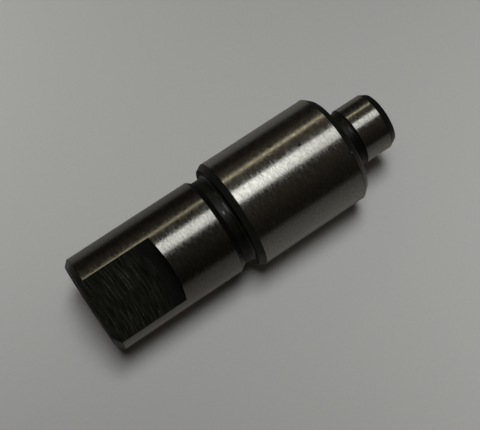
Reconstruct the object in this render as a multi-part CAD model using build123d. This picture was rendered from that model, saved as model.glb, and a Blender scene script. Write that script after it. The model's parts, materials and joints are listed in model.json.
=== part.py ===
from build123d import *
import os
from math import radians, tan

# A short stepped shaft, hardened and ground between centres. It is one piece of steel.
# It stands on the end that carries the flat: the origin is the centre of that end face,
# +Z runs along the axis to the thin end, and the flat faces -Y. Sizes are in millimetres.

# The three ground steps, from the standing end upwards, each with its undercut
JOURNAL_DIAMETER = 15.0
JOURNAL_LENGTH = 23.1
SEAT_DIAMETER = 17.0
SEAT_LENGTH = 19.3
PIN_DIAMETER = 9.0
PIN_LENGTH = 7.8

# Edges
JOURNAL_CHAMFER = 0.8            # 45 degrees
SEAT_LEAD_LENGTH = 0.9           # long shallow lead-in at the seat's lower edge
SEAT_LEAD_DEPTH = 0.5
SEAT_CHAMFER_LENGTH = 1.0
SEAT_CHAMFER_DEPTH = 0.85
PIN_CHAMFER_LENGTH = 1.0
PIN_CHAMFER_DEPTH = 0.55

# Undercuts, which let the grinding wheel run out beside each shoulder
UNDERCUT_WIDTH = 2.5
UNDERCUT_RUN_OUT_ANGLE = 37.0    # slope from the ground diameter down to the floor
UNDERCUT_ROOT_RADIUS = 0.4
JOURNAL_UNDERCUT_DEPTH = 0.6
PIN_UNDERCUT_DEPTH = 0.2

# Flat on the journal, cut by a face mill that feeds in along the axis
FLAT_FROM_AXIS = 5.4
FLAT_LENGTH = 11.8
FACE_MILL_DIAMETER = 63.0

# Centre holes, on which the shaft turns while it is ground
CENTRE_CONE_ANGLE = 60.0
JOURNAL_PILOT_DIAMETER = 2.0
JOURNAL_CENTRE_MOUTH = 4.25
PIN_PILOT_DIAMETER = 1.6
PIN_CENTRE_MOUTH = 3.35
PILOT_DEPTH_RATIO = 1.2          # straight pilot below the cone, in pilot diameters
DRILL_POINT_ANGLE = 118.0


def centre_hole(end_z, inwards, pilot_diameter, mouth_diameter):
    """Half section of a centre hole, from the drill point on the axis out to the mouth."""
    pilot = pilot_diameter / 2
    mouth = mouth_diameter / 2
    cone_depth = (mouth - pilot) / tan(radians(CENTRE_CONE_ANGLE / 2))
    pilot_depth = cone_depth + PILOT_DEPTH_RATIO * pilot_diameter
    point_depth = pilot_depth + pilot / tan(radians(DRILL_POINT_ANGLE / 2))
    return [
        (0, end_z + inwards * point_depth),
        (pilot, end_z + inwards * pilot_depth),
        (pilot, end_z + inwards * cone_depth),
        (mouth, end_z),
    ]


# The half section, radius across and axis up
journal = JOURNAL_DIAMETER / 2
seat = SEAT_DIAMETER / 2
pin = PIN_DIAMETER / 2
run_out_slope = tan(radians(UNDERCUT_RUN_OUT_ANGLE))
journal_floor = journal - JOURNAL_UNDERCUT_DEPTH
pin_floor = pin - PIN_UNDERCUT_DEPTH

# The shoulders are the faces that a bearing ring stops against
lower_shoulder_z = JOURNAL_LENGTH
upper_shoulder_z = lower_shoulder_z + SEAT_LENGTH
thin_end_z = upper_shoulder_z + PIN_LENGTH
lower_undercut_z = lower_shoulder_z - UNDERCUT_WIDTH
upper_undercut_z = upper_shoulder_z + UNDERCUT_WIDTH
lower_root = [
    (journal_floor, lower_shoulder_z - UNDERCUT_ROOT_RADIUS),
    (journal_floor + UNDERCUT_ROOT_RADIUS, lower_shoulder_z),
]
upper_root = [
    (pin_floor + UNDERCUT_ROOT_RADIUS, upper_shoulder_z),
    (pin_floor, upper_shoulder_z + UNDERCUT_ROOT_RADIUS),
]

lower_outline = centre_hole(0, 1, JOURNAL_PILOT_DIAMETER, JOURNAL_CENTRE_MOUTH) + [
    (journal - JOURNAL_CHAMFER, 0),
    (journal, JOURNAL_CHAMFER),
    (journal, lower_undercut_z),
    (journal_floor, lower_undercut_z + JOURNAL_UNDERCUT_DEPTH / run_out_slope),
    lower_root[0],
]
seat_outline = [
    lower_root[1],
    (seat - SEAT_LEAD_DEPTH, lower_shoulder_z),
    (seat, lower_shoulder_z + SEAT_LEAD_LENGTH),
    (seat, upper_shoulder_z - SEAT_CHAMFER_LENGTH),
    (seat - SEAT_CHAMFER_DEPTH, upper_shoulder_z),
    upper_root[0],
]
pin_outline = [
    upper_root[1],
    (pin_floor, upper_undercut_z - PIN_UNDERCUT_DEPTH / run_out_slope),
    (pin, upper_undercut_z),
    (pin, thin_end_z - PIN_CHAMFER_LENGTH),
    (pin - PIN_CHAMFER_DEPTH, thin_end_z),
] + centre_hole(thin_end_z, -1, PIN_PILOT_DIAMETER, PIN_CENTRE_MOUTH)[::-1]

with BuildPart() as turning:
    with BuildSketch(Plane.XZ):
        with BuildLine():
            Polyline(*lower_outline)
            RadiusArc(lower_root[0], lower_root[1], UNDERCUT_ROOT_RADIUS)
            Polyline(*seat_outline)
            RadiusArc(upper_root[0], upper_root[1], UNDERCUT_ROOT_RADIUS)
            Polyline(*pin_outline)
            Line(pin_outline[-1], lower_outline[0])
        make_face()
    revolve(axis=Axis.Z)

# The face mill where its feed ends: its rim leaves the flat's curved end wall.
# The floor of the flat is its lower disc, and it reaches out past the journal.
mill_radius = FACE_MILL_DIAMETER / 2
mill_height = journal - FLAT_FROM_AXIS + 1.0
face_mill = Pos(0, -FLAT_FROM_AXIS, FLAT_LENGTH - mill_radius) * Rot(90, 0, 0) * Cylinder(
    mill_radius, mill_height, align=(Align.CENTER, Align.CENTER, Align.MIN)
)

shaft = turning.part - face_mill

os.makedirs("parts", exist_ok=True)
export_step(shaft, "parts/shaft.step")
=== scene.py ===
import json
import math

import bmesh
import bpy
from mathutils import Matrix, Vector


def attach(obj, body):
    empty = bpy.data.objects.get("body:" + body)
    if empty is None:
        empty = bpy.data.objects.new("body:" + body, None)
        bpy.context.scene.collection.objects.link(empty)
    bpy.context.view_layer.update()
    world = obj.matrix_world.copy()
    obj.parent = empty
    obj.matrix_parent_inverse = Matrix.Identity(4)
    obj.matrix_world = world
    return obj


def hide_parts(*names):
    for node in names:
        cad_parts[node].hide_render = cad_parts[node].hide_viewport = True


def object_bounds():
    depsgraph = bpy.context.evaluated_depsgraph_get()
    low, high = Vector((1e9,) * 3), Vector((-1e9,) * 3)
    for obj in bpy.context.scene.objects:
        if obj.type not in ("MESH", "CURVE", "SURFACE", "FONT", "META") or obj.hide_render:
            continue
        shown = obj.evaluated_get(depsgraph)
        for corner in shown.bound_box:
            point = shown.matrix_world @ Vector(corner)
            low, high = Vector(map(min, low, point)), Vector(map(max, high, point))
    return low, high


# A ground steel shaft. It stands on the end with the flat, and +Z is its axis.
# The camera is rolled, so that the picture shows it lying across a pale table.

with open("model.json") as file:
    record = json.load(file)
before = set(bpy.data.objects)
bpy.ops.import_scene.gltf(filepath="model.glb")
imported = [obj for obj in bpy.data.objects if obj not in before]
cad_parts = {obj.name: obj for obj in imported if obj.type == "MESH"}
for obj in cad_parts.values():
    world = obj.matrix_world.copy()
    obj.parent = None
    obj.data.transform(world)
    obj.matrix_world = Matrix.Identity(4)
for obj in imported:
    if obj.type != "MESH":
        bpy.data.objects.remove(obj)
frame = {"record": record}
cad_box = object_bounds()
scene = bpy.context.scene
MM = 0.001

# ---------------------------------------------------------------- sizes from the frame
mounts = {m["name"]: m for m in frame["record"]["mounts"]}


def mount_radius(name):
    return mounts[name]["dims"]["r_mm"] * MM


def mount_span(name):
    """Where the stated wall of a round mount starts and ends along Z."""
    middle = mounts[name]["pos_m"][2]
    half = mounts[name]["dims"]["length_mm"] * MM / 2
    return middle - half, middle + half


def mount_z(name):
    return mounts[name]["pos_m"][2]


JOURNAL_R = mount_radius("journal")
SEAT_R = mount_radius("seat")
PIN_R = mount_radius("end_pin")
FLAT_END_Z, JOURNAL_TOP = mount_span("journal")
SEAT_BOTTOM, SEAT_TOP = mount_span("seat")
PIN_BOTTOM, PIN_TOP = mount_span("end_pin")
LOWER_SHOULDER = mount_z("lower_shoulder")
UPPER_SHOULDER = mount_z("upper_shoulder")
FLAT_FLOOR_Y = mounts["drive_flat"]["pos_m"][1]
THIN_END = cad_box[1].z

# Sizes that the frame doesn't state, as the source has them
JOURNAL_CHAMFER = 0.8 * MM
SEAT_LEAD_DEPTH = 0.5 * MM
SEAT_CHAMFER_DEPTH = 0.85 * MM
PIN_CHAMFER_DEPTH = 0.55 * MM
RUN_OUT_SLOPE = math.tan(math.radians(37.0))
ROOT_RADIUS = 0.4 * MM
JOURNAL_UNDERCUT_DEPTH = 0.6 * MM
PIN_UNDERCUT_DEPTH = 0.2 * MM
FACE_MILL_RADIUS = 31.5 * MM
JOURNAL_PILOT_R, JOURNAL_MOUTH_R = 1.0 * MM, 2.125 * MM
PIN_PILOT_R, PIN_MOUTH_R = 0.8 * MM, 1.675 * MM
JOURNAL_FLOOR_R = JOURNAL_R - JOURNAL_UNDERCUT_DEPTH
PIN_FLOOR_R = PIN_R - PIN_UNDERCUT_DEPTH
CENTRE_CONE_ANGLE = 60.0
DRILL_POINT_ANGLE = 118.0
PILOT_DEPTH_RATIO = 1.2      # straight pilot below the cone, in pilot diameters

# ---------------------------------------------------------------- camera
CAMERA_AZIMUTH = -14.36      # round the shaft from -Y, degrees
CAMERA_DISTANCE = 0.16401    # from the axis
CAMERA_Z = -0.00456
CAMERA_AIM = Vector((0.00065, -0.00017, 0.02487))
CAMERA_ROLL = 56.55
CAMERA_LENS = 87.14
SENSOR_WIDTH = 36.0
UP = Vector((0, 0, 1))


def around(azimuth):
    """Unit vector out from the axis, at an azimuth in degrees from -Y towards +X."""
    a = math.radians(azimuth)
    return Vector((math.sin(a), -math.cos(a), 0.0))


camera = bpy.data.objects.new("camera", bpy.data.cameras.new("camera"))
scene.collection.objects.link(camera)
camera.location = around(CAMERA_AZIMUTH) * CAMERA_DISTANCE + Vector((0, 0, CAMERA_Z))
look = (CAMERA_AIM - camera.location).to_track_quat("-Z", "Y")
camera.rotation_mode = "QUATERNION"
camera.rotation_quaternion = look @ Matrix.Rotation(math.radians(CAMERA_ROLL), 3, "Z").to_quaternion()
camera.data.sensor_width = SENSOR_WIDTH
camera.data.lens = CAMERA_LENS
camera.data.clip_start = 0.01
camera.data.clip_end = 10.0
scene.camera = camera


# ---------------------------------------------------------------- node helpers
# m or owner is the material or the world that the nodes belong to
def new_material(name):
    m = bpy.data.materials.new(name)
    m.use_nodes = True
    return m, m.node_tree.nodes, m.node_tree.links


def feed(owner, value, socket):
    """Puts a number, a colour or another node's output into a socket."""
    if isinstance(value, bpy.types.NodeSocket):
        owner.node_tree.links.new(value, socket)
    elif isinstance(value, (tuple, list)):
        socket.default_value = (*value, 1)
    else:
        socket.default_value = value


def calc(owner, operation, *values):
    """One step of arithmetic on numbers or outputs."""
    node = owner.node_tree.nodes.new("ShaderNodeMath")
    node.operation = operation
    for value, socket in zip(values, node.inputs):
        feed(owner, value, socket)
    return node.outputs["Value"]


def between(owner, factor, low, high, at_low, at_high):
    """Maps factor from low..high to at_low..at_high, clamped."""
    node = owner.node_tree.nodes.new("ShaderNodeMapRange")
    for name, value in (("From Min", low), ("From Max", high), ("To Min", at_low), ("To Max", at_high)):
        node.inputs[name].default_value = value
    feed(owner, factor, node.inputs["Value"])
    return node.outputs["Result"]


def mix(owner, factor, a, b):
    """Colour a where factor is 0 and b where it is 1."""
    node = owner.node_tree.nodes.new("ShaderNodeMix")
    node.data_type = "RGBA"
    feed(owner, factor, node.inputs["Factor"])
    feed(owner, a, node.inputs["A"])
    feed(owner, b, node.inputs["B"])
    return node.outputs["Result"]


def object_place(m):
    """The place on the object that is being shaded, in metres."""
    return m.node_tree.nodes.new("ShaderNodeTexCoord").outputs["Object"]


def distance_along(m, where, axis, start):
    """How far a place lies along a unit axis, counted from start."""
    node = m.node_tree.nodes.new("ShaderNodeVectorMath")
    node.operation = "DOT_PRODUCT"
    node.inputs[1].default_value = axis
    feed(m, where, node.inputs[0])
    return calc(m, "SUBTRACT", node.outputs["Value"], start)


def noise_on(m, where, grain, detail=2.0):
    """Noise whose grains are about grain = (x, y, z) metres in size."""
    nodes = m.node_tree.nodes
    stretch = nodes.new("ShaderNodeVectorMath")
    stretch.operation = "DIVIDE"
    stretch.inputs[1].default_value = grain
    texture = nodes.new("ShaderNodeTexNoise")
    texture.inputs["Scale"].default_value = 1.0
    texture.inputs["Detail"].default_value = detail
    feed(m, where, stretch.inputs[0])
    feed(m, stretch.outputs["Vector"], texture.inputs["Vector"])
    return texture.outputs["Fac"]


def relief(m, height, depth, below=None):
    """Bump of a depth in metres, on top of another one if given."""
    node = m.node_tree.nodes.new("ShaderNodeBump")
    node.inputs["Distance"].default_value = depth
    feed(m, height, node.inputs["Height"])
    if below is not None:
        feed(m, below, node.inputs["Normal"])
    return node.outputs["Normal"]


def spots(m, where, places):
    """1 in small round spots on the surface, 0 elsewhere. Places are (azimuth, z, radius, size)."""
    total = 0.0
    for azimuth, z, radius, size in places:
        away = m.node_tree.nodes.new("ShaderNodeVectorMath")
        away.operation = "DISTANCE"
        away.inputs[1].default_value = around(azimuth) * radius + UP * z
        feed(m, where, away.inputs[0])
        spot = between(m, away.outputs["Value"], size, 0.5 * size, 0, 1)
        total = calc(m, "MAXIMUM", total, spot)
    return total


# ---------------------------------------------------------------- finishes
STEEL = (0.558, 0.552, 0.508)
JOURNAL_STEEL = [0.66 * c for c in STEEL]     # a third darker, as the photo shows it
GROUND_ROUGHNESS = 0.115, 0.255
NOISE_SPREAD = 0.34, 0.66    # most of a noise's values lie in here
# Pits, painted dark as the shade inside them, and nicks, painted light as bare steel and its glint, each
# as (azimuth, z, radius, size)
SHADED_PITS = (
    (-34.6, 35.8 * MM, SEAT_R, 0.27 * MM),
    (-16.0, 36.05 * MM, SEAT_R, 0.16 * MM),
)
GLINTING_NICKS = (
    (-22.3, 21.92 * MM, JOURNAL_FLOOR_R, 0.20 * MM),
    (-20.2, 21.90 * MM, JOURNAL_FLOOR_R, 0.16 * MM),
    (-1.1, 41.45 * MM, SEAT_R - 0.1 * MM, 0.16 * MM),
)
# Rings that the turning tool's dwell has burnished, as (z, half width)
BURNISHED = (
    (LOWER_SHOULDER - 0.52 * MM, 0.12 * MM),
    (UPPER_SHOULDER + 1.85 * MM, 0.12 * MM),
)
BURNISHED_CORE = 0.6         # share of the half width that is burnished in full
BURNISHING = 0.42            # what it leaves of the roughness
SCALE_IOR = 1.5
# Dark and light colour of the scale, where it was turned and where it was milled
TURNED_SCALE = (0.0008, 0.0009, 0.0004), (0.0038, 0.0041, 0.0022)
MILLED_SCALE = (0.0006, 0.0007, 0.0002), (0.0122, 0.0121, 0.0075)
LAST_PASS_SCALE = (0.0020, 0.0021, 0.0014)
SCRATCH = (0.024, 0.025, 0.018)
# Painted highlight of the glints on the milled floor
PAINTED_GLINT = (0.13, 0.13, 0.12)
# Colour of the nicks: bare steel under the scale, partly a painted glint
NICK_AND_GLINT = (0.14, 0.14, 0.13)


def ground_steel(name, colour, shaded_pits=()):
    """Bright ground metal: short fine marks round the axis over a faint mottle."""
    m, nodes, links = new_material(name)
    shader = nodes["Principled BSDF"]
    shader.inputs["Metallic"].default_value = 1.0
    where = object_place(m)
    marks = noise_on(m, where, (0.42 * MM, 0.42 * MM, 0.11 * MM), 3.0)
    lay = noise_on(m, where, (0.9 * MM, 0.9 * MM, 0.22 * MM))
    mottle = noise_on(m, where, (0.4 * MM, 0.4 * MM, 0.4 * MM))
    dark = [0.82 * c for c in colour]
    light = [1.14 * c for c in colour]
    base = mix(m, between(m, marks, *NOISE_SPREAD, 0, 1), dark, light)
    # painted shade: the pits are darkened, with no hollow modelled
    if shaded_pits:
        base = mix(m, spots(m, where, shaded_pits), base, [0.1 * c for c in colour])
    links.new(base, shader.inputs["Base Color"])
    links.new(between(m, lay, *NOISE_SPREAD, *GROUND_ROUGHNESS), shader.inputs["Roughness"])
    under = relief(m, mottle, 0.005 * MM)
    links.new(relief(m, marks, 0.003 * MM, under), shader.inputs["Normal"])
    return m


def black_turned(name, glinting_nicks, rings_at):
    """Dark heat-treatment scale on the surfaces that only the lathe has touched."""
    m, nodes, links = new_material(name)
    shader = nodes["Principled BSDF"]
    shader.inputs["IOR"].default_value = SCALE_IOR
    where = object_place(m)
    rings = noise_on(m, where, (3 * MM, 3 * MM, 0.12 * MM))
    cloud = noise_on(m, where, (1.5 * MM, 1.5 * MM, 1.5 * MM), 3.0)
    base = mix(m, between(m, cloud, 0.35, 0.65, 0, 1), *TURNED_SCALE)
    # the nicks show bare steel, painted light as its glint
    links.new(mix(m, spots(m, where, glinting_nicks), base, NICK_AND_GLINT), shader.inputs["Base Color"])
    matt = between(m, cloud, 0.3, 0.7, 0.5, 0.38)
    for z, half_width in rings_at:
        away = calc(m, "ABSOLUTE", distance_along(m, where, UP, z))
        left = between(m, away, BURNISHED_CORE * half_width, half_width, BURNISHING, 1)
        matt = calc(m, "MULTIPLY", matt, left)
    links.new(matt, shader.inputs["Roughness"])
    links.new(relief(m, rings, 0.006 * MM), shader.inputs["Normal"])
    return m


def milled_black(name, mill_radius, end_z):
    """The scaled floor of the flat, with the arcs that the face mill left as it was fed towards end_z,
    and painted glints along them.
    """
    m, nodes, links = new_material(name)
    shader = nodes["Principled BSDF"]
    shader.inputs["IOR"].default_value = SCALE_IOR
    parts = nodes.new("ShaderNodeSeparateXYZ")
    links.new(object_place(m), parts.inputs[0])
    # each arc has the mill's radius, so z + x²/2R is nearly the same all along it
    squared = calc(m, "MULTIPLY", parts.outputs["X"], parts.outputs["X"])
    fed = calc(m, "MULTIPLY_ADD", squared, 0.5 / mill_radius, parts.outputs["Z"])
    on_arcs = nodes.new("ShaderNodeCombineXYZ")
    links.new(parts.outputs["X"], on_arcs.inputs["X"])
    links.new(fed, on_arcs.inputs["Z"])
    where = on_arcs.outputs["Vector"]
    streaks = noise_on(m, where, (2.6 * MM, MM, 0.26 * MM), 4.0)
    scratches = noise_on(m, where, (4.5 * MM, MM, 0.15 * MM))
    breaks = noise_on(m, where, (0.30 * MM, MM, 0.14 * MM), 1.0)
    deepest = between(m, scratches, 0.58, 0.66, 0, 1)
    # painted highlight: glints in dots along the deepest scratches
    painted_glints = calc(m, "MULTIPLY", deepest, between(m, breaks, 0.60, 0.71, 0, 1))
    base = mix(m, between(m, streaks, 0.41, 0.68, 0, 1), *MILLED_SCALE)
    base = mix(m, between(m, scratches, 0.56, 0.69, 0, 1), base, SCRATCH)
    base = mix(m, painted_glints, base, PAINTED_GLINT)
    last_pass = between(m, fed, end_z - 3.5 * MM, end_z - 0.9 * MM, 0, 1)
    links.new(mix(m, last_pass, base, LAST_PASS_SCALE), shader.inputs["Base Color"])
    links.new(between(m, streaks, 0.3, 0.7, 0.5, 0.4), shader.inputs["Roughness"])
    links.new(relief(m, streaks, 0.02 * MM), shader.inputs["Normal"])
    return m


def worn(name, colour):
    """An edge that handling has rubbed bright in patches."""
    m, nodes, links = new_material(name)
    shader = nodes["Principled BSDF"]
    shader.inputs["Metallic"].default_value = 1.0
    shader.inputs["Roughness"].default_value = 0.35
    patches = noise_on(m, object_place(m), (MM, MM, MM))
    dark = [0.25 * c for c in colour]
    links.new(mix(m, between(m, patches, 0.3, 0.6, 0, 1), dark, colour), shader.inputs["Base Color"])
    return m


FINISHES = (
    ground_steel("ground_steel", STEEL, SHADED_PITS),
    ground_steel("ground_journal", JOURNAL_STEEL),
    black_turned("black_scale", GLINTING_NICKS, BURNISHED),
    milled_black("milled_flat", FACE_MILL_RADIUS, FLAT_END_Z),
    worn("worn_edge", STEEL),
)
GROUND, JOURNAL, BLACK, MILLED, WORN = range(len(FINISHES))


# ---------------------------------------------------------------- the shaft
SEGMENTS = 360
MILL_SEGMENTS = 720
EDGE_BREAK = 0.06 * MM      # tiny rounding on every outer corner
EDGE_STEPS = 3
ROOT_STEPS = 6
ROUND_TOLERANCE = 0.02      # a face this close to the radial plane is part of a turned surface
ON_AXIS = 1e-7


def root(centre_r, centre_z, start, end):
    """Points round the root of a groove, angles in degrees."""
    points = []
    for i in range(ROOT_STEPS + 1):
        a = math.radians(start + (end - start) * i / ROOT_STEPS)
        r = centre_r + ROOT_RADIUS * math.cos(a)
        z = centre_z + ROOT_RADIUS * math.sin(a)
        points.append((r, z, BLACK, None))
    return points


def break_edges(points, size):
    """The (r, z, finish) outline with each corner that has an edge finish rounded off by size."""
    rounded = []
    for i, (r, z, finish, edge) in enumerate(points):
        if edge is None:
            rounded.append((r, z, finish))
            continue
        here = Vector((r, z))
        before = (Vector(points[i - 1][:2]) - here).normalized()
        after = (Vector(points[i + 1][:2]) - here).normalized()
        a, b = here + before * size, here + after * size
        for k in range(EDGE_STEPS + 1):
            t = k / EDGE_STEPS
            p = a * (1 - t) ** 2 + here * 2 * t * (1 - t) + b * t**2
            # the last short face of a corner already has the finish of what follows
            rounded.append((p.x, p.y, finish if k == EDGE_STEPS else edge))
    return rounded


def centre_hole(end_z, inwards, pilot, mouth):
    """Outline of a centre hole, from the drill point on the axis out to the mouth."""
    cone = (mouth - pilot) / math.tan(math.radians(CENTRE_CONE_ANGLE / 2))
    depth = cone + PILOT_DEPTH_RATIO * 2 * pilot
    point = depth + pilot / math.tan(math.radians(DRILL_POINT_ANGLE / 2))
    return [
        (0, end_z + inwards * point, BLACK, None),
        (pilot, end_z + inwards * depth, BLACK, None),
        (pilot, end_z + inwards * cone, BLACK, None),
        (mouth, end_z, BLACK, None),
    ]


# Each point is (r, z, finish of the face that starts there, finish of its rounded corner)
outline = centre_hole(0, 1, JOURNAL_PILOT_R, JOURNAL_MOUTH_R)
outline += [
    (JOURNAL_R - JOURNAL_CHAMFER, 0, BLACK, WORN),
    (JOURNAL_R, JOURNAL_CHAMFER, JOURNAL, BLACK),
    (JOURNAL_R, JOURNAL_TOP, BLACK, BLACK),
    (JOURNAL_FLOOR_R, JOURNAL_TOP + JOURNAL_UNDERCUT_DEPTH / RUN_OUT_SLOPE, BLACK, None),
]
outline += root(JOURNAL_FLOOR_R + ROOT_RADIUS, LOWER_SHOULDER - ROOT_RADIUS, 180, 90)
outline += [
    (SEAT_R - SEAT_LEAD_DEPTH, LOWER_SHOULDER, BLACK, BLACK),
    (SEAT_R, SEAT_BOTTOM, GROUND, BLACK),
    (SEAT_R, SEAT_TOP, BLACK, BLACK),
    (SEAT_R - SEAT_CHAMFER_DEPTH, UPPER_SHOULDER, BLACK, WORN),
]
outline += root(PIN_FLOOR_R + ROOT_RADIUS, UPPER_SHOULDER + ROOT_RADIUS, 270, 180)
outline += [
    (PIN_FLOOR_R, PIN_BOTTOM - PIN_UNDERCUT_DEPTH / RUN_OUT_SLOPE, BLACK, None),
    (PIN_R, PIN_BOTTOM, GROUND, BLACK),
    (PIN_R, PIN_TOP, BLACK, BLACK),
    (PIN_R - PIN_CHAMFER_DEPTH, THIN_END, BLACK, BLACK),
]
outline += centre_hole(THIN_END, -1, PIN_PILOT_R, PIN_MOUTH_R)[::-1]


def mesh_of(bm, name):
    mesh = bpy.data.meshes.new(name)
    bm.to_mesh(mesh)
    bm.free()
    return mesh


def lathe(name, profile):
    """Turns an (r, z, finish) outline round the axis."""
    bm = bmesh.new()
    rings = []
    for r, z, _ in profile:
        if r == 0:
            rings.append([bm.verts.new((0, 0, z))])
            continue
        ring = []
        for i in range(SEGMENTS):
            a = 2 * math.pi * i / SEGMENTS
            ring.append(bm.verts.new((r * math.cos(a), r * math.sin(a), z)))
        rings.append(ring)
    for low, high, (_, _, finish) in zip(rings, rings[1:], profile):
        for i in range(SEGMENTS):
            j = (i + 1) % SEGMENTS
            if len(low) == 1:
                f = bm.faces.new((low[0], high[j], high[i]))
            elif len(high) == 1:
                f = bm.faces.new((low[i], low[j], high[0]))
            else:
                f = bm.faces.new((low[i], low[j], high[j], high[i]))
            f.material_index = finish
    bmesh.ops.recalc_face_normals(bm, faces=bm.faces)
    return mesh_of(bm, name)


def face_mill(name):
    """The milled-away space: a disc whose inner face is the flat's floor."""
    bm = bmesh.new()
    y_floor, y_out = FLAT_FLOOR_Y, -JOURNAL_R - MM
    centre_z = FLAT_END_Z - FACE_MILL_RADIUS
    inner, outer = [], []
    for i in range(MILL_SEGMENTS):
        a = 2 * math.pi * i / MILL_SEGMENTS
        x = FACE_MILL_RADIUS * math.cos(a)
        z = centre_z + FACE_MILL_RADIUS * math.sin(a)
        inner.append(bm.verts.new((x, y_floor, z)))
        outer.append(bm.verts.new((x, y_out, z)))
    for i in range(MILL_SEGMENTS):
        j = (i + 1) % MILL_SEGMENTS
        bm.faces.new((inner[i], inner[j], outer[j], outer[i]))
    bm.faces.new(inner)
    bm.faces.new(outer[::-1])
    bmesh.ops.recalc_face_normals(bm, faces=bm.faces)
    for f in bm.faces:
        f.material_index = MILLED
    return mesh_of(bm, name)


turned = bpy.data.objects.new("turned", lathe("turned", break_edges(outline, EDGE_BREAK)))
cutter = bpy.data.objects.new("cutter", face_mill("cutter"))
for o in (turned, cutter):
    scene.collection.objects.link(o)
    for m in FINISHES:
        o.data.materials.append(m)
cut = turned.modifiers.new("cut", "BOOLEAN")
cut.operation = "DIFFERENCE"
cut.solver = "EXACT"
cut.object = cutter
depsgraph = bpy.context.evaluated_depsgraph_get()
mesh = bpy.data.meshes.new_from_object(turned.evaluated_get(depsgraph))
for o in (turned, cutter):
    bpy.data.objects.remove(o)

# Round surfaces get their true radial normals, so that long reflections run straight
mesh.shade_smooth()
normals = [None] * len(mesh.loops)
for f in mesh.polygons:
    out = Vector((f.center.x, f.center.y, 0)).normalized()
    radial, axial = f.normal.dot(out), f.normal.z
    turned_face = (f.normal - out * radial - UP * axial).length < ROUND_TOLERANCE
    milled_face = f.material_index == MILLED
    for k in f.loop_indices:
        v = mesh.vertices[mesh.loops[k].vertex_index].co
        side = Vector((v.x, v.y, 0))
        if milled_face or not turned_face or side.length < ON_AXIS:
            normals[k] = f.normal
        else:
            normals[k] = (side.normalized() * radial + UP * axial).normalized()
mesh.normals_split_custom_set(normals)

shaft = bpy.data.objects.new("shaft_steel", mesh)
scene.collection.objects.link(shaft)
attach(shaft, "root")
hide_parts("shaft")

# ---------------------------------------------------------------- the stage
# The shaft lies on its seat against a table, which stands upright in this frame.
# A floor under the flat end carries it in views from above. Both are seen from
# their front only, so the views from behind look through the table at the shaft.
TABLE_AZIMUTH = CAMERA_AZIMUTH - 21.5     # the way the table faces
STAGE_HALF = 0.6
TABLE_COLOUR = (0.434, 0.407, 0.390)
FLOOR_COLOUR = (0.80, 0.80, 0.78)
TABLE_FADE = (0.10, 0.35)    # distances from the origin where it starts to fade and is gone
FLOOR_FADE = (0.08, 0.32)
PAPER_GRAIN = 0.35 * MM
# Painted light and shade: the tone drifts slowly, as light in a room does, two corners lighter, two
# darker
LIGHT_DRIFT_CENTRE_ACROSS = -9 * MM
LIGHT_DRIFT_CENTRE_Z = 34 * MM
LIGHT_DRIFT_AREA = 0.0013          # across times along, in square metres, where the drift is full
PAINTED_LIGHT_DRIFT = 0.20


def one_sided(name, colour, fade):
    """A matt surface seen from its front only, with painted light and shade drifting over it, which fades
    out between two distances.
    """
    m, nodes, links = new_material(name)
    where = object_place(m)
    across = distance_along(m, where, UP.cross(around(TABLE_AZIMUTH)), LIGHT_DRIFT_CENTRE_ACROSS)
    along = distance_along(m, where, UP, LIGHT_DRIFT_CENTRE_Z)
    # painted light and shade as a saddle: lighter in two opposite corners, darker in the other two
    saddle = calc(m, "MULTIPLY", across, along)
    painted_light = between(m, saddle, -LIGHT_DRIFT_AREA, LIGHT_DRIFT_AREA, 1 - PAINTED_LIGHT_DRIFT, 1 + PAINTED_LIGHT_DRIFT)
    grain = noise_on(m, where, (PAPER_GRAIN, PAPER_GRAIN, PAPER_GRAIN))
    paper = between(m, grain, 0.2, 0.8, 0.98, 1.02)
    shade = nodes.new("ShaderNodeVectorMath")
    shade.operation = "SCALE"
    shade.inputs[0].default_value = colour
    links.new(calc(m, "MULTIPLY", painted_light, paper), shade.inputs["Scale"])
    matt = nodes.new("ShaderNodeBsdfDiffuse")
    links.new(shade.outputs["Vector"], matt.inputs["Color"])
    clear = nodes.new("ShaderNodeBsdfTransparent")
    reach = nodes.new("ShaderNodeVectorMath")
    reach.operation = "LENGTH"
    links.new(where, reach.inputs[0])
    faded = between(m, reach.outputs["Value"], *fade, 0, 1)
    from_behind = nodes.new("ShaderNodeNewGeometry").outputs["Backfacing"]
    surface = nodes.new("ShaderNodeMixShader")
    links.new(calc(m, "MAXIMUM", faded, from_behind), surface.inputs["Fac"])
    links.new(matt.outputs[0], surface.inputs[1])
    links.new(clear.outputs[0], surface.inputs[2])
    links.new(surface.outputs[0], nodes["Material Output"].inputs["Surface"])
    return m


def stage_plane(name, centre, normal, up, material):
    """A square of the stage. It shows the shaft's shadow and blocks no lamp."""
    side = up.cross(normal).normalized()
    bm = bmesh.new()
    corners = ((-1, -1), (1, -1), (1, 1), (-1, 1))
    bm.faces.new([bm.verts.new(centre + (side * a + up * b) * STAGE_HALF) for a, b in corners])
    mesh = mesh_of(bm, name)
    mesh.materials.append(material)
    o = bpy.data.objects.new(name, mesh)
    scene.collection.objects.link(o)
    o.visible_diffuse = False
    o.visible_glossy = False
    o.visible_shadow = False
    return o


table_face = around(TABLE_AZIMUTH)
table_matt = one_sided("table_matt", TABLE_COLOUR, TABLE_FADE)
floor_matt = one_sided("floor_matt", FLOOR_COLOUR, FLOOR_FADE)
stage_plane("table", table_face * -SEAT_R, table_face, UP, table_matt)
stage_plane("floor", Vector((0, 0, 0)), UP, around(0), floor_matt)

# ---------------------------------------------------------------- lamps
LAMP_DISTANCE = 0.4
WARM = (1, 0.91, 0.67)
COOL = (0.90, 0.98, 1.0)


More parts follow.
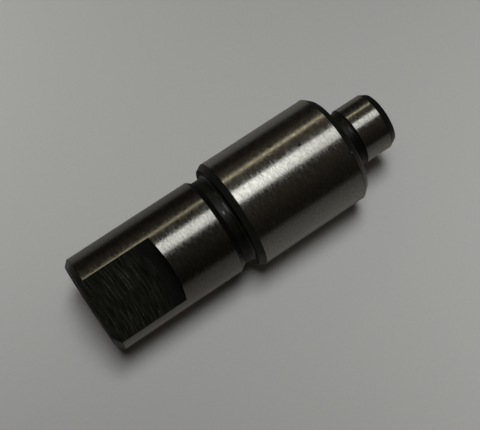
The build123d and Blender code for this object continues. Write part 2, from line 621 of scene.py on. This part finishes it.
def softbox(name, swing, z, width, length, radiance, colour=(1, 1, 1), lean=0.0, distance=LAMP_DISTANCE):
    """An area lamp that faces the axis, swung round it from the camera and leaned, both in degrees.

    Its radiance is what a mirror would show.
    """
    lamp = bpy.data.lights.new(name, "AREA")
    lamp.shape = "RECTANGLE"
    lamp.size, lamp.size_y = width, length
    lamp.energy = radiance * math.pi * width * length
    lamp.color = colour
    o = bpy.data.objects.new(name, lamp)
    scene.collection.objects.link(o)
    out = around(CAMERA_AZIMUTH + swing)
    o.location = out * distance + UP * z
    side = UP.cross(out)
    facing = Matrix((side, UP, out)).transposed()
    o.rotation_mode = "QUATERNION"
    o.rotation_quaternion = (facing @ Matrix.Rotation(math.radians(lean), 3, "Z")).to_quaternion()
    return o


softbox("window", -22.1, z=0.075, width=0.182, length=0.27, radiance=0.75)
softbox("window_left", -27.0, z=0.12, width=0.11, length=0.44, radiance=0.24)
softbox("window_low", -24.2, z=0.045, width=0.165, length=0.17, radiance=0.57)
softbox("strip", -65.6, z=0.13, width=0.036, length=0.40, radiance=0.75, colour=WARM, lean=21.0)
softbox("rear", -178.0, z=0.24, width=0.12, length=0.36, radiance=0.8)
# These two are for the journal's foot alone and leave the table as it is
window_foot = softbox("window_foot", -24.0, z=-0.12, width=0.165, length=0.13, radiance=0.60)
window_foot.visible_diffuse = False
rear_foot = softbox("rear_foot", -152.0, z=-0.10, width=0.10, length=0.12, radiance=0.60)
rear_foot.visible_diffuse = False
# This one throws the shadow on the table and keeps out of the reflections
fill = softbox(
    "fill",
    -20.8,
    z=0.150,
    width=0.320,
    length=0.609,
    radiance=16.2,
    colour=COOL,
    lean=47.6,
    distance=1.2,
)
fill.visible_glossy = False

# ---------------------------------------------------------------- the room
# Tone round the shaft, by azimuth from the camera in degrees: dark in front, pale behind
ROOM = (
    (-180, 0.17, "pale"),
    (-160, 0.13, "pale"),
    (-130, 0.115, "pale"),
    (-121, 0.08, "pale"),
    (-112, 0.010, "dark"),
    (-92, 0.012, "dark"),
    (-80, 0.034, "dark"),
    (-45, 0.041, "dark"),
    (0, 0.027, "dark"),
    (20, 0.022, "dark"),
    (45, 0.011, "dark"),
    (69, 0.007, "dark"),
    (80, 0.060, "pale"),
    (110, 0.100, "pale"),
    (150, 0.125, "pale"),
    (158, 0.062, "pale"),
    (172, 0.062, "pale"),
    (180, 0.17, "pale"),
)
# The same below the horizon, where polished metal mirrors the floor
ROOM_BELOW = (
    (-180, 0.010, "pale"),
    (-166, 0.015, "pale"),
    (-150, 0.15, "pale"),
    (-120, 0.09, "pale"),
    (-60, 0.06, "pale"),
    (20, 0.05, "pale"),
    (60, 0.06, "pale"),
    (110, 0.12, "pale"),
    (125, 0.20, "pale"),
    (150, 0.24, "pale"),
    (166, 0.015, "pale"),
    (180, 0.010, "pale"),
)
# And high up, where the chamfers at the thin end look
ROOM_ABOVE = (
    (-180, 0.12, "pale"),
    (-165, 0.05, "pale"),
    (-120, 0.035, "pale"),
    (-60, 0.035, "dark"),
    (0, 0.018, "dark"),
    (60, 0.018, "dark"),
    (90, 0.045, "pale"),
    (115, 0.13, "pale"),
    (140, 0.30, "pale"),
    (160, 0.46, "pale"),
    (172, 0.44, "pale"),
    (180, 0.12, "pale"),
)
CEILING = 0.06
# Where each takes over from ROOM, as the sine of a direction's elevation
BELOW_STARTS, BELOW_FULL = -0.07, -0.21
ABOVE_STARTS, ABOVE_FULL = 0.31, 0.43
CEILING_STARTS, CEILING_FULL = 0.80, 0.95
TINTS = {"pale": (1.0, 0.95, 0.88), "dark": (1.0, 0.85, 0.66)}
BACKDROP = (0.33, 0.33, 0.325)

world = bpy.data.worlds.new("room")
scene.world = world
world.use_nodes = True
nodes, links = world.node_tree.nodes, world.node_tree.links
direction = nodes.new("ShaderNodeTexCoord").outputs["Generated"]
from_camera = nodes.new("ShaderNodeMapping")
from_camera.inputs["Rotation"].default_value = (0, 0, math.radians(90 - CAMERA_AZIMUTH))
sweep = nodes.new("ShaderNodeTexGradient")
sweep.gradient_type = "RADIAL"
links.new(direction, from_camera.inputs["Vector"])
links.new(from_camera.outputs["Vector"], sweep.inputs["Vector"])
elevation = distance_along(world, direction, UP, 0)


def surround(tones):
    """The colour round the shaft from (azimuth, tone, tint) stops."""
    ramp = nodes.new("ShaderNodeValToRGB")
    links.new(sweep.outputs["Fac"], ramp.inputs["Fac"])
    stops = ramp.color_ramp.elements
    while len(stops) < len(tones):
        stops.new(0.5)
    for stop, (azimuth, _, _) in zip(stops, tones):
        stop.position = (azimuth + 180) / 360
    for stop, (_, tone, tint) in zip(stops, tones):
        stop.color = (*[tone * t for t in TINTS[tint]], 1)
    return ramp.outputs["Color"]


def beyond(starts, full):
    """0 to 1 as the sine of a direction's elevation goes from starts to full."""
    return between(world, elevation, starts, full, 0, 1)


ray = nodes.new("ShaderNodeLightPath").outputs
mirrored_floor = calc(world, "MULTIPLY", beyond(BELOW_STARTS, BELOW_FULL), ray["Is Glossy Ray"])
ceiling = [CEILING * t for t in TINTS["pale"]]
room = mix(world, beyond(ABOVE_STARTS, ABOVE_FULL), surround(ROOM), surround(ROOM_ABOVE))
room = mix(world, beyond(CEILING_STARTS, CEILING_FULL), room, ceiling)
room = mix(world, mirrored_floor, room, surround(ROOM_BELOW))
links.new(mix(world, ray["Is Camera Ray"], room, BACKDROP), nodes["Background"].inputs["Color"])

scene.view_settings.view_transform = "Standard"
